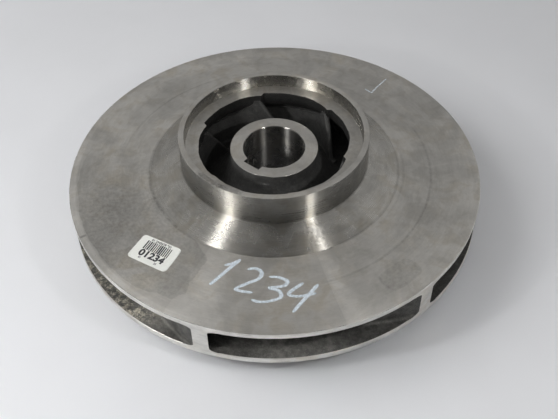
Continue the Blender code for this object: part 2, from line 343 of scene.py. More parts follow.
def finish_mesh(name, mesh):
    """Faces turned outwards, smooth shading with sharp corners, and the object in the scene."""
    work = bmesh.new()
    work.from_mesh(mesh)
    bmesh.ops.recalc_face_normals(work, faces=work.faces)
    work.to_mesh(mesh)
    work.free()
    mesh.shade_smooth()
    mesh.set_sharp_from_angle(angle=math.radians(32.0))
    return placed(name, mesh)


def placed(name, data):
    item = bpy.data.objects.new(name, data)
    bpy.context.scene.collection.objects.link(item)
    return item


def roughen(piece, weights):
    """Uneven casting skin: moves the points along their normals, by their weights."""
    mesh = piece.data
    places = np.empty(len(mesh.vertices) * 3)
    normals = np.empty(len(mesh.vertices) * 3)
    mesh.vertices.foreach_get("co", places)
    mesh.vertex_normals.foreach_get("vector", normals)
    places = places.reshape(-1, 3)
    push = np.zeros(len(places))
    for index in np.nonzero(weights > 0.01)[0]:
        place = Vector(places[index])
        broad = noise.noise(place * 70.0)
        fine = noise.noise(place * 260.0 + Vector((7.0, 3.0, 5.0)))
        push[index] = weights[index] * SKIN_DEPTH * (broad + 0.45 * fine)
    places += normals.reshape(-1, 3) * push[:, None]
    mesh.vertices.foreach_set("co", places.ravel())
    mesh.update()


def install(piece, slot, *nodes):
    """Rides on the one body and stands for its CAD nodes. The slot is not used."""
    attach(piece, "root")
    if nodes:
        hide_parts(*nodes)
    return piece


# Helpers for node trees, of materials and of shapes.


def add(tree, kind, inputs=None, **settings):
    """A node with its settings. Each input takes a value or another node's output."""
    node = tree.nodes.new(kind)
    for name, value in settings.items():
        setattr(node, name, value)
    for key, value in (inputs or {}).items():
        if isinstance(value, bpy.types.NodeSocket):
            tree.links.new(value, node.inputs[key])
        else:
            node.inputs[key].default_value = value
    return node


def maths(tree, operation, *values):
    return add(tree, "ShaderNodeMath", dict(enumerate(values)), operation=operation).outputs[0]


def vector(tree, operation, *values, out=0):
    node = add(tree, "ShaderNodeVectorMath", dict(enumerate(values)), operation=operation)
    return node.outputs[out]


def axis_distance(tree, place):
    level = vector(tree, "MULTIPLY", place, (1.0, 1.0, 0.0))
    return vector(tree, "LENGTH", level, out="Value")


def blend(tree, factor, low, high, kind="MIX"):
    """One colour over another by a factor."""
    inputs = {0: factor, 6: low, 7: high}
    node = add(tree, "ShaderNodeMix", inputs, data_type="RGBA", blend_type=kind)
    return node.outputs[2]


def grey(tree, value):
    return add(tree, "ShaderNodeCombineColor", {0: value, 1: value, 2: value}).outputs[0]


def spread(tree, value, low, high, to_low=0.0, to_high=1.0):
    """The value's range from low to high, stretched smoothly onto another range."""
    inputs = {0: value, 1: low, 2: high, 3: to_low, 4: to_high}
    node = add(tree, "ShaderNodeMapRange", inputs, interpolation_type="SMOOTHSTEP")
    return node.outputs[0]


def speckle(tree, place, scale, detail=2.0, roughness=0.5, twist=0.0):
    inputs = {
        "Vector": place,
        "Scale": scale,
        "Detail": detail,
        "Roughness": roughness,
        "Distortion": twist,
    }
    return add(tree, "ShaderNodeTexNoise", inputs).outputs[0]


def object_place(tree):
    return add(tree, "ShaderNodeTexCoord").outputs["Object"]


# Shader groups. They give out only numbers that change over the surface.


def new_group(name, inputs, outputs):
    group = bpy.data.node_groups.new(name, "ShaderNodeTree")
    for label, value in inputs.items():
        socket = group.interface.new_socket(label, in_out="INPUT", socket_type="NodeSocketFloat")
        socket.default_value = value
    for label in outputs:
        kind = "NodeSocketVector" if label == "Place" else "NodeSocketFloat"
        group.interface.new_socket(label, in_out="OUTPUT", socket_type=kind)
    start = group.nodes.new("NodeGroupInput")
    end = group.nodes.new("NodeGroupOutput")
    return group, start.outputs, end.inputs


def use(tree, group, **inputs):
    """The outputs of a group's node."""
    node = tree.nodes.new("ShaderNodeGroup")
    node.node_tree = group
    for label, value in inputs.items():
        if isinstance(value, bpy.types.NodeSocket):
            tree.links.new(value, node.inputs[label])
        else:
            node.inputs[label].default_value = value
    return node.outputs


def make_axis_group():
    """Where a point is round the axis: its radius, azimuth, height and place."""
    group, _, end = new_group("place_round_axis", {}, ("Radius", "Azimuth", "Height", "Place"))
    place = object_place(group)
    x, y, z = add(group, "ShaderNodeSeparateXYZ", {0: place}).outputs
    group.links.new(axis_distance(group, place), end["Radius"])
    group.links.new(maths(group, "ARCTAN2", y, x), end["Azimuth"])
    group.links.new(z, end["Height"])
    group.links.new(place, end["Place"])
    return group


def make_rings_group(axis):
    """Lathe marks: noise that runs in rings, fine and broad, and short ragged chatter marks."""
    inputs = {"Pitch": 0.0006, "Length": 0.07}
    group, start, end = new_group("lathe_rings", inputs, ("Fine", "Broad", "Chatter"))
    at = use(group, axis)
    x, y, _ = add(group, "ShaderNodeSeparateXYZ", {0: at["Place"]}).outputs
    for label, wider, longer in (("Fine", 1.0, 1.0), ("Broad", 9.0, 1.0), ("Chatter", 3.0, 0.11)):
        length = maths(group, "MULTIPLY", start["Length"], longer)
        pitch = maths(group, "MULTIPLY", start["Pitch"], wider)
        across = maths(group, "DIVIDE", at["Radius"], pitch)
        along = maths(group, "DIVIDE", at["Height"], pitch)
        slow = maths(group, "DIVIDE", x, length)
        place = add(group, "ShaderNodeCombineXYZ", {0: across, 1: along, 2: slow}).outputs[0]
        inputs = {"Vector": place, "Scale": 1.0, "Detail": 3.0, "Roughness": 0.6}
        inputs["W"] = maths(group, "DIVIDE", y, length)
        rings = add(group, "ShaderNodeTexNoise", inputs, noise_dimensions="4D")
        group.links.new(rings.outputs[0], end[label])
    return group


def make_blotches_group(axis):
    """Handling marks: wide clouds, small smears and fine specks, each from 0 to 1."""
    kinds = (
        ("Clouds", 16.0, 0.34, 0.66),
        ("Smears", 55.0, 0.36, 0.70),
        ("Specks", 420.0, 0.58, 0.74),
    )
    labels = [label for label, *_ in kinds]
    group, start, end = new_group("handling_blotches", {"Scale": 1.0}, labels)
    at = use(group, axis)
    for label, scale, low, high in kinds:
        size = maths(group, "MULTIPLY", start["Scale"], scale)
        cloud = speckle(group, at["Place"], size, 4.0, 0.6, 0.7)
        group.links.new(spread(group, cloud, low, high), end[label])
    return group


def make_patch_group(axis):
    """A mask over a stretch of a ring, with soft and uneven borders and one eased end."""
    group, start, end = new_group("patch_on_ring", PATCH_INPUTS, ("Mask",))
    at = use(group, axis)
    turn = maths(group, "SUBTRACT", at["Azimuth"], start["Azimuth"])
    turn = maths(group, "ARCTAN2", maths(group, "SINE", turn), maths(group, "COSINE", turn))
    turn = maths(group, "DIVIDE", turn, start["Reach"])
    out = maths(group, "SUBTRACT", at["Radius"], start["Radius"])
    out = maths(group, "DIVIDE", out, start["Depth"])
    fourth = [maths(group, "POWER", maths(group, "ABSOLUTE", side), 4.0) for side in (turn, out)]
    far = maths(group, "POWER", maths(group, "ADD", *fourth), 0.25)
    ripple = speckle(group, at["Place"], start["Grain"], 3.0)
    ripple = maths(group, "MULTIPLY", maths(group, "SUBTRACT", ripple, 0.5), start["Wobble"])
    far = maths(group, "ADD", far, ripple)
    inner = maths(group, "SUBTRACT", 1.0, start["Softness"])
    outer = maths(group, "ADD", 1.0, start["Softness"])
    eased = spread(group, turn, -1.2, maths(group, "SUBTRACT", start["Ease"], 1.2))
    mask = maths(group, "MULTIPLY", spread(group, far, outer, inner), eased)
    group.links.new(mask, end["Mask"])
    return group


def make_groups():
    axis = make_axis_group()
    return {
        "axis": axis,
        "rings": make_rings_group(axis),
        "blotches": make_blotches_group(axis),
        "patch": make_patch_group(axis),
    }


# Materials.


def new_material(name, metallic, roughness):
    """A material with its Principled shader. Constant looks go on the shader's own sockets."""
    material = bpy.data.materials.new(name)
    material.use_nodes = True
    shader = material.node_tree.nodes["Principled BSDF"]
    shader.inputs["Metallic"].default_value = metallic
    shader.inputs["Roughness"].default_value = roughness
    return material, material.node_tree, shader


def connect(tree, shader, **sockets):
    """Links outputs into the shader, with underscores in the names read as spaces."""
    for label, socket in sockets.items():
        tree.links.new(socket, shader.inputs[label.replace("_", " ")])


def bump(tree, height, distance, under=None):
    inputs = {"Height": height, "Distance": distance}
    if under is not None:
        inputs["Normal"] = under
    return add(tree, "ShaderNodeBump", inputs).outputs[0]


def scaled(colour, share):
    return tuple(channel * share for channel in colour[:3]) + (1.0,)


def patch_mask(tree, groups, azimuth, reach, radius, depth, *borders):
    """A patch's mask, placed in degrees and millimetres. The borders are its other inputs."""
    places = (math.radians(azimuth), math.radians(reach), radius * 0.001, depth * 0.001)
    inputs = dict(zip(PATCH_INPUTS, places + borders))
    return use(tree, groups["patch"], **inputs)["Mask"]


def with_marks_and_painted_light(tree, groups, marks, shade, gloss):
    """Shade and gloss with marks put in, painted highlights and painted shade among them. The
    darker marks are uneven, the lighter ones smooth.
    """
    fine = speckle(tree, object_place(tree), 300.0, 4.0, 0.65)
    uneven = spread(tree, fine, 0.36, 0.64, 0.7, 1.3)
    for mark in marks:
        darker, duller = mark[7:9]
        mask = patch_mask(tree, groups, *mark[:7], *mark[9:])
        cover = maths(tree, "MULTIPLY", mask, uneven) if darker > 0.0 else mask
        shade = maths(tree, "MULTIPLY", shade, maths(tree, "MULTIPLY_ADD", cover, -darker, 1.0))
        gloss = maths(tree, "MULTIPLY_ADD", mask, duller, gloss)
    return shade, gloss


def turned_steel(name, groups, tone, roughness, anisotropy, pitch, contrast, marks=()):
    """Lathe-turned stainless: rings, blotches and marks in its colour, gloss and relief, with
    painted highlights and painted shade among the marks.
    """
    material, tree, shader = new_material(name, 1.0, roughness)
    shader.inputs["Anisotropic"].default_value = anisotropy
    shader.inputs["Anisotropic Rotation"].default_value = 0.25
    around = vector(tree, "CROSS_PRODUCT", (0.0, 0.0, 1.0), object_place(tree))
    rings = use(tree, groups["rings"], Pitch=pitch, Length=0.07)
    blots = use(tree, groups["blotches"])
    shade = 1.0
    layers = (
        (rings["Broad"], 0.25, 0.75, 1.0 - contrast, 1.0 + contrast),
        (rings["Fine"], 0.25, 0.75, 1.0 - contrast, 1.0 + contrast),
        (rings["Chatter"], 0.3, 0.7, 1.0 - contrast, 1.0 + contrast),
        (blots["Clouds"], 0.0, 1.0, 0.89, 1.08),
        (blots["Smears"], 0.0, 1.0, 1.04, 0.93),
        (blots["Specks"], 0.0, 1.0, 1.0, 0.88),
    )
    for layer in layers:
        shade = maths(tree, "MULTIPLY", shade, spread(tree, *layer))
    # Long glints fray on uneven steel, so it is the evener the longer they are.
    unevenness = 1.2 - anisotropy
    low, high = roughness - 0.04 * unevenness, roughness + 0.04 * unevenness
    gloss = spread(tree, rings["Fine"], 0.3, 0.7, low, high)
    gloss = maths(tree, "ADD", gloss, spread(tree, blots["Smears"], 0.0, 1.0, -0.015, 0.03))
    if marks:
        shade, gloss = with_marks_and_painted_light(tree, groups, marks, shade, gloss)
    tarnish = maths(tree, "MULTIPLY", blots["Clouds"], blots["Smears"])
    warm = (tone[0] * 0.99, tone[1] * 0.95, tone[2] * 0.88, 1.0)
    colour = blend(tree, tarnish, tone, warm)
    colour = blend(tree, 1.0, colour, grey(tree, shade), "MULTIPLY")
    relief = bump(tree, rings["Fine"], 0.000006)
    relief = bump(tree, rings["Chatter"], 0.00003 * unevenness, under=relief)
    connect(tree, shader, Base_Color=colour, Roughness=gloss, Normal=relief, Tangent=around)
    return material


def cast_steel(name, groups, share=1.0):
    """Rough casting skin with patches and baked sand; some patches are painted shade. The share
    makes it darker as a whole, which is painted shade where it is below 1.
    """
    material, tree, shader = new_material(name, 0.45, 0.62)
    at = use(tree, groups["axis"])
    lumps = speckle(tree, at["Place"], 160.0, 4.0, 0.6)
    grains = speckle(tree, at["Place"], 700.0, 3.0, 0.65)
    outwards = spread(tree, at["Radius"], 0.10, 0.185)
    hollow = blend(tree, outwards, *HOLLOWS)
    raised = blend(tree, outwards, *LUMPS)
    colour = blend(tree, spread(tree, lumps, 0.35, 0.68), hollow, raised)
    bits = maths(tree, "MULTIPLY", spread(tree, grains, 0.54, 0.72), 0.38)
    colour = blend(tree, bits, colour, GRAINS)
    crust = patch_mask(tree, groups, *SAND_PATCH, 0.25, 0.3, 90.0)
    clumps = spread(tree, speckle(tree, at["Place"], 150.0, 5.0, 0.75), 0.45, 0.58)
    sand = blend(tree, spread(tree, grains, 0.35, 0.65), *SAND)
    colour = blend(tree, maths(tree, "MULTIPLY", clumps, crust), colour, sand)
    shade = maths(tree, "MULTIPLY", share, spread(tree, grains, 0.0, 1.0, 0.98, 1.02))
    for *place, lighter in CAST_MARKS_AND_SHADE:
        mask = patch_mask(tree, groups, *place, 0.4, 0.3, 60.0)
        shade = maths(tree, "MULTIPLY", shade, maths(tree, "MULTIPLY_ADD", mask, lighter, 1.0))
    colour = blend(tree, 1.0, colour, grey(tree, shade), "MULTIPLY")
    relief = bump(tree, lumps, 0.0009)
    relief = bump(tree, grains, 0.00035, under=relief)
    connect(tree, shader, Base_Color=colour, Normal=relief)
    return material


def plain(name, colour, roughness, contrast=0.07, scale=1500.0):
    """Paper, ink, paint or table: one colour with a fine uneven grain."""
    material, tree, shader = new_material(name, 0.0, roughness)
    fibre = speckle(tree, object_place(tree), scale, 3.0, 0.6)
    dark = scaled(colour, 1.0 - contrast)
    connect(tree, shader, Base_Color=blend(tree, spread(tree, fibre, 0.35, 0.65), dark, colour))
    return material


# Turned and cast pieces.


def profile_rings(profile, azimuths):
    return [circle(radius, azimuths, height) for radius, height, _ in profile]


def make_disc(name, profile, low, materials):
    """A disc from its profile, roughened well inside its cast run, which starts at low."""
    slots = [slot for _, _, slot in profile]
    piece = skin(name, profile_rings(profile, even_azimuths()), slots, materials)
    weights = []
    for radius, _, slot in profile:
        inside = fade(radius, low, low + SKIN_INSET)
        inside *= fade(radius, CAST_END, CAST_END - SKIN_INSET)
        weights.append(inside if slot == CAST else 0.0)
    roughen(piece, np.repeat(weights, COLUMNS))
    return piece


def make_front_shroud(materials):
    """The front disc and its cone: a softened kink, a turned edge, and the cast underside."""
    profile = []
    for radius in (NECK_RADIUS, 0.1226, 0.123, 0.1234, 0.1534, 0.1546):
        slot = BRIGHT if radius < 0.123 else TURNED
        profile.append((radius, float(top_height(radius)), slot))
    profile += [
        (OUTER_RADIUS - EDGE, RIM_TOP, TURNED),
        (OUTER_RADIUS - EDGE * 0.3, RIM_TOP - EDGE * 0.3, EDGING),
        (OUTER_RADIUS, RIM_TOP - EDGE, EDGING),
        (OUTER_RADIUS, OUTLET_HIGH + BURY, EDGING),
        (OUTER_RADIUS - BURY, OUTLET_HIGH, CAST),
    ]
    for radius in wall_radii(FRONT_WALL, NECK_RADIUS, CAST_END, 40)[::-1]:
        profile.append((radius, float(wall_height(FRONT_WALL, radius)), CAST))
    piece = make_disc("front_shroud_turned", profile, NECK_RADIUS, materials)
    return install(piece, "machined_steel", "front_shroud", "front_cone")


def eye_reach(azimuths):
    """Radius of the eye's cast edge: it comes in sharply at each vane, then eases out."""
    pitch = 2 * math.pi / VANE_COUNT
    along = ((azimuths - FIRST_SWELL) % pitch) / pitch
    swell = fade(along, 0.0, 0.05) * np.exp(-np.maximum(0.0, along - 0.05) / 0.22)
    swell *= 1.0 - 0.75 * fade(np.cos(azimuths - FAINT_SWELL), 0.3, 0.8)
    ripple = 0.00035 * np.sin(azimuths * 7.0 + 1.0) + 0.0002 * np.sin(azimuths * 19.0)
    ripple += 0.00008 * np.sin(azimuths * 53.0)
    return EYE_EDGE - EYE_SWELL * swell + ripple


def make_neck(materials):
    """The neck with its counterbore and seat, and the eye's uneven edge below them."""
    azimuths = even_azimuths()
    edge = eye_reach(azimuths)
    profile = [
        (NECK_RADIUS, 0.072, BRIGHT),
        (NECK_RADIUS, NECK_TOP - EDGE, TURNED),
        (NECK_RADIUS - EDGE * 0.3, NECK_TOP - EDGE * 0.3, TURNED),
        (NECK_RADIUS - EDGE, NECK_TOP, TURNED),
        (NECK_BORE_RADIUS + EDGE, NECK_TOP, TURNED),
        (NECK_BORE_RADIUS + EDGE * 0.3, NECK_TOP - EDGE * 0.3, TURNED),
        (NECK_BORE_RADIUS, NECK_TOP - EDGE, INNER),
        (NECK_BORE_RADIUS, SEAT + 0.0007, INNER),
        (NECK_BORE_RADIUS - 0.0002, SEAT + 0.0002, INNER),
        (NECK_BORE_RADIUS - 0.0007, SEAT, TURNED),
    ]
    rings = profile_rings(profile, azimuths)
    slots = [slot for _, _, slot in profile]
    for inwards, height in ((0.0005, SEAT), (0.0001, SEAT - 0.0003), (0.0, SEAT - 0.001)):
        rings.append(circle(edge + inwards, azimuths, height))
        slots.append(CAST)
    for height in np.linspace(SEAT - 0.0025, THROAT_LOW, 5):
        rings.append(circle(edge, azimuths, height))
        slots.append(CAST)
    for radius in wall_radii(FRONT_WALL, THROAT_RADIUS, NECK_RADIUS, 18)[1:]:
        pull = (edge - THROAT_RADIUS) * (1.0 - fade(radius, THROAT_RADIUS, 0.080))
        rings.append(circle(radius + pull, azimuths, float(wall_height(FRONT_WALL, radius))))
        slots.append(CAST)
    piece = skin("neck_turned", rings, slots, materials)
    turned_rows = len(profile) + 1
    weights = np.ones(len(rings))
    weights[:turned_rows] = 0.0
    weights[turned_rows:turned_rows + 2] = (0.3, 0.7)
    weights[-2:] = (0.4, 0.0)
    roughen(piece, np.repeat(weights, COLUMNS))
    return install(piece, "machined_steel", "neck_ring", "eye_ring")


def keyed_outline(grow):
    """Plan outline of the bore with its keyway, larger all round by grow."""
    radius = BORE_RADIUS + grow
    half = KEYWAY_HALF + grow * 0.5
    floor = KEYWAY_FLOOR + grow * 0.5
    first = math.asin(half / radius)
    turns = np.linspace(first, 2 * math.pi - first, 300)
    arc = np.stack([radius * np.cos(turns), radius * np.sin(turns)], -1)
    mouth = radius * math.cos(first)
    down = np.stack([np.linspace(mouth, floor, 8)[1:], np.full(7, -half)], -1)
    across = np.stack([np.full(12, floor), np.linspace(-half, half, 14)[1:-1]], -1)
    up = np.stack([np.linspace(floor, mouth, 8)[:-1], np.full(7, half)], -1)
    return turned(np.concatenate([arc, down, across, up]), KEYWAY_AZIMUTH)


def sleeve_radius(azimuths):
    """The sleeve's outside, with the low spot that the casting left at its front."""
    turn = np.cos(azimuths - SLEEVE_FLAT_AZIMUTH)
    chord = SLEEVE_FLAT / np.maximum(turn, 0.2)
    return np.minimum(HUB_RADIUS, chord)


def make_hub(materials):
    """The sleeve in the eye with its keyed bore, its cast flare and the boss behind."""
    outline = keyed_outline(0.0)
    azimuths = np.arctan2(outline[:, 1], outline[:, 0])
    count = len(azimuths)

    def bore_ring(grow, height):
        return np.column_stack([keyed_outline(grow), np.full(count, height)])

    sleeve = sleeve_radius(azimuths)
    rings = [bore_ring(EDGE, HUB_FACE), circle(sleeve - EDGE, azimuths, HUB_FACE)]
    rings.append(circle(sleeve - EDGE * 0.2, azimuths, HUB_FACE - EDGE * 0.5))
    slots = [TURNED, TURNED, CAST]
    for height in np.linspace(HUB_FACE - EDGE * 1.5, 0.077, 8):
        rings.append(circle(sleeve, azimuths, height))
        slots.append(CAST)
    for radius in wall_radii(BACK_WALL, HUB_RADIUS, BOSS_RADIUS, 20):
        rings.append(circle(radius, azimuths, float(wall_height(BACK_WALL, radius))))
        slots.append(CAST)
    cast_rows = len(rings)
    slots[cast_rows - 1] = TURNED
    rings += [
        circle(BOSS_RADIUS, azimuths, EDGE),
        circle(BOSS_RADIUS - EDGE, azimuths, 0.0),
        bore_ring(EDGE, 0.0),
        bore_ring(0.0, EDGE),
        bore_ring(0.0, HUB_FACE - EDGE),
    ]
    slots += [TURNED, TURNED, TURNED, BRIGHT, BRIGHT]
    piece = skin("hub_sleeve", rings, slots, materials)
    for face in piece.data.polygons:
        if face.material_index == BRIGHT and face.center.xy.length > BORE_RADIUS + 0.0004:
            face.material_index = CAST
    weights = np.zeros(len(rings))
    weights[3:cast_rows - 3] = 1.0
    weights[3] = 0.3
    roughen(piece, np.repeat(weights, count))
    return install(piece, "machined_steel", "hub")


def make_back_shroud(materials):
    """The back disc: its cast inside, the turned edge and the flat turned back."""
    profile = []
    for radius in wall_radii(BACK_WALL, BOSS_RADIUS, CAST_END, 44):
        profile.append((radius, float(wall_height(BACK_WALL, radius)), CAST))
    profile += [
        (OUTER_RADIUS - BURY, OUTLET_LOW, EDGING),
        (OUTER_RADIUS, OUTLET_LOW - BURY, EDGING),
        (OUTER_RADIUS, RIM_LOW + EDGE, EDGING),
        (OUTER_RADIUS - EDGE * 0.3, RIM_LOW + EDGE * 0.3, EDGING),
        (OUTER_RADIUS - EDGE, RIM_LOW, TURNED),
        (BOSS_RADIUS, RIM_LOW, TURNED),
    ]
    piece = make_disc("back_shroud_turned", profile, BOSS_RADIUS, materials)
    return install(piece, "machined_steel", "back_shroud")


# Vanes: one in mesh code, then the ring of them by a geometry tree.


def vane_azimuth(radius):
    return VANE_RIM_AZIMUTH - np.log(OUTER_RADIUS / radius) / math.tan(VANE_ANGLE)


def vane_line(height):
    """The middle line's radii at a height, from the leaning nose to past the rim."""
    share = np.linspace(0.0, 1.0, LINE_POINTS)
    reach = math.log(LINE_END / NOSE_FOOT_RADIUS)
    lean = NOSE_LEAN * np.maximum(0.0, height - NOSE_FOOT_HEIGHT)
    lean *= np.maximum(0.0, 1.0 - share / LEAN_SHARE)
    return NOSE_FOOT_RADIUS * np.exp(reach * share) + lean


def level_heights(radii, level):
    """Heights along a level, given from the back wall, from the front wall or between."""
    back = wall_height(BACK_WALL, radii)
    front = wall_height(FRONT_WALL, radii)
    kind, amount = level
    if kind == "back":
        return back + amount
    if kind == "front":
        return front - amount
    low, high = back + FILLET, front - FILLET
    return low + (high - low) * amount


def flare(distance):
    """How much thicker the vane is at a distance from a wall: a round fillet's foot."""
    inside = np.clip(distance, 0.0, FILLET)
    return FILLET - np.sqrt(FILLET**2 - (FILLET - inside) ** 2)


def vane_loop(level):
    """One level round the vane: outer side inwards, nose, inner side outwards, rim end."""
    heights = np.full(LINE_POINTS, RIM_TOP)
    for _ in range(12):
        radii = vane_line(heights)
        heights = level_heights(radii, level)
    azimuths = vane_azimuth(radii)
    back = wall_height(BACK_WALL, radii)
    front = wall_height(FRONT_WALL, radii)
    at_front = flare(front - heights) * fade(radii, 0.074, 0.090)
    half = VANE_HALF + flare(heights - back) + at_front
    sides = []
    for sign in (1.0, -1.0):
        x = radii * np.cos(azimuths) + sign * half * np.cos(azimuths - VANE_ANGLE)
        y = radii * np.sin(azimuths) + sign * half * np.sin(azimuths - VANE_ANGLE)
        sides.append(trimmed_side(x, y, heights))
    half_turns = 1.0 + np.linspace(0.0, 1.0, NOSE_POINTS + 2)[1:-1]
    nose = circle(half[0], azimuths[0] - VANE_ANGLE + math.pi * half_turns, heights[0])
    nose += circle(radii[0], azimuths[:1], 0.0)
    outer, inner = sides
    first, last = (math.atan2(side[-1][1], side[-1][0]) for side in (inner, outer))
    ends = np.linspace(first, last, RIM_POINTS + 2)[1:-1]
    rim = circle(OUTER_RADIUS, ends, (inner[-1][2] + outer[-1][2]) / 2)
    return np.concatenate([outer[::-1], nose[::-1], inner, rim])


def trimmed_side(x, y, z):
    """A side's points from the nose to exactly the rim radius, closer together at the nose."""
    reach = np.hypot(x, y)
    last = int(np.argmax(reach > OUTER_RADIUS))
    share = (OUTER_RADIUS - reach[last - 1]) / (reach[last] - reach[last - 1])
    where = np.linspace(0.0, 1.0, SIDE_POINTS) ** 1.2 * (last - 1 + share)
    index = np.arange(len(x))
    return np.stack([np.interp(where, index, line) for line in (x, y, z)], -1)


def vane_caps(rows):
    """Faces that close the vane's foot and top, which lie inside the two shrouds."""
    count = 2 * SIDE_POINTS + NOSE_POINTS + RIM_POINTS
    last_inner = count - RIM_POINTS - 1
    caps = []
    for offset in (0, (rows - 1) * count):
        for index in range(SIDE_POINTS - 1):
            twin = last_inner - index
            caps.append([offset + i for i in (index, index + 1, twin - 1, twin)])
        nose = range(SIDE_POINTS - 1, SIDE_POINTS + NOSE_POINTS + 1)
        caps.append([offset + i for i in nose])
        caps.append([offset + i for i in (0, *range(last_inner, count))])
    return caps


def new_shape_tree(name, inputs):
    """A geometry tree that takes and gives a shape, with named inputs."""
    tree = bpy.data.node_groups.new(name, "GeometryNodeTree")
    tree.interface.new_socket("Geometry", in_out="INPUT", socket_type="NodeSocketGeometry")
    for label, kind in inputs.items():
        tree.interface.new_socket(label, in_out="INPUT", socket_type="NodeSocket" + kind)
    tree.interface.new_socket("Geometry", in_out="OUTPUT", socket_type="NodeSocketGeometry")
    start = tree.nodes.new("NodeGroupInput")
    end = tree.nodes.new("NodeGroupOutput")
    return tree, start.outputs, end.inputs


def made_mesh(item):
    """What an object's text or modifiers make, as a plain mesh."""
    made = item.evaluated_get(bpy.context.evaluated_depsgraph_get())
    return bpy.data.meshes.new_from_object(made)


def reshape(piece, tree, **values):
    """Puts what a geometry tree makes of a piece in the piece's place."""
    modifier = piece.modifiers.new("shape", "NODES")
    modifier.node_group = tree
    for socket in tree.interface.items_tree:
        label = socket.name.replace(" ", "_")
        if socket.in_out == "INPUT" and label in values:
            modifier[socket.identifier] = values[label]
    mesh = made_mesh(piece)
    piece.modifiers.remove(modifier)
    piece.data = mesh


def paint_shape(tree, shape, material, chosen=None):
    inputs = {"Geometry": shape, "Material": material}
    if chosen is not None:
        inputs["Selection"] = chosen
    return add(tree, "GeometryNodeSetMaterial", inputs).outputs[0]


def make_vane_ring_tree():
    """One vane copied round the axis, cast all over but turned where it ends at the rim."""
    kinds = {
        "Count": "Int",
        "Rim Radius": "Float",
        "Cast Skin": "Material",
        "Turned End": "Material",
    }
    tree, start, end = new_shape_tree("vane_ring", kinds)
    points = add(tree, "GeometryNodePoints", {"Count": start["Count"]}).outputs[0]
    step = maths(tree, "DIVIDE", 2 * math.pi, start["Count"])
    turn = maths(tree, "MULTIPLY", add(tree, "GeometryNodeInputIndex").outputs[0], step)
    turn = add(tree, "ShaderNodeCombineXYZ", {2: turn}).outputs[0]
    turn = add(tree, "FunctionNodeEulerToRotation", {0: turn}).outputs[0]
    inputs = {"Points": points, "Instance": start["Geometry"], "Rotation": turn}
    copies = add(tree, "GeometryNodeInstanceOnPoints", inputs).outputs[0]
    whole = add(tree, "GeometryNodeRealizeInstances", {0: copies}).outputs[0]
    place = add(tree, "GeometryNodeInputPosition").outputs[0]
    edge = maths(tree, "SUBTRACT", start["Rim Radius"], 0.00005)
    at_rim = maths(tree, "GREATER_THAN", axis_distance(tree, place), edge)
    cast = paint_shape(tree, whole, start["Cast Skin"])
    tree.links.new(paint_shape(tree, cast, start["Turned End"], at_rim), end["Geometry"])
    return tree


def make_vanes(cast, turned):
    """Six vanes with fillets at both walls, leaning round noses and turned rim ends."""
    feet = [-BURY, 0.0, 0.0002, 0.0006, 0.0012, 0.0020, 0.0029]
    levels = [("back", foot) for foot in feet]
    levels += [("between", share) for share in np.linspace(0.0, 1.0, 15)]
    levels += [("front", foot) for foot in reversed(feet)]
    rings = np.array([vane_loop(level) for level in levels])
    caps = vane_caps(len(levels))
    vanes = skin("vanes_cast", rings, [0] * len(levels), [], closed=False, caps=caps)
    sizes = {"Count": VANE_COUNT, "Rim_Radius": OUTER_RADIUS}
    reshape(vanes, make_vane_ring_tree(), Cast_Skin=cast, Turned_End=turned, **sizes)
    places = np.array([vertex.co[:2] for vertex in vanes.data.vertices])
    reach = np.hypot(places[:, 0], places[:, 1])
    roughen(vanes, fade(reach, OUTER_RADIUS - 0.0002, OUTER_RADIUS - 0.004))
    names = [f"vane_{index + 1}" for index in range(VANE_COUNT)]
    return install(vanes, "cast_steel", *names)


# The label, its print and the pen strokes.


def label_to_plan(points):
    return turned(points, LABEL_TURN) + np.array(LABEL_CENTRE)


def evenly(line, spacing):
    """Points along a line at an even spacing."""
    length = np.concatenate([[0.0], np.cumsum(np.linalg.norm(np.diff(line, axis=0), axis=1))])
    even = np.linspace(0.0, length[-1], max(4, int(length[-1] / spacing)))
    return np.column_stack([np.interp(even, length, line[:, axis]) for axis in (0, 1)])


def label_outline():
    """The label's rounded outline about its centre."""
    points = []
    reach_x, reach_y = (half - LABEL_CORNER for half in LABEL_HALF)
    for side_x, side_y, start in ((1, 1, 0.0), (-1, 1, 0.5), (-1, -1, 1.0), (1, -1, 1.5)):
        for turn in np.linspace(start, start + 0.5, 9) * math.pi:
            x = side_x * reach_x + LABEL_CORNER * math.cos(turn)
            y = side_y * reach_y + LABEL_CORNER * math.sin(turn)
            points.append((x, y))
    return evenly(np.array(points + points[:1]), 0.0008)[:-1]


def make_label(paper):
    """The paper label, laid on the shroud's slope in rings small enough to follow it."""
    outline = label_outline()
    shares = np.linspace(0.02, 1.0, 28)
    layers = [(share, 0.0) for share in shares] + [(1.0, PAPER * 0.7)]
    layers += [(share * 0.995, PAPER) for share in shares[::-1]]
    rings = [on_shroud(label_to_plan(outline * share), lift) for share, lift in layers]
    piece = skin("label_paper_sheet", rings, [0] * len(rings), [paper])
    return install(piece, "label_paper", "inventory_label")


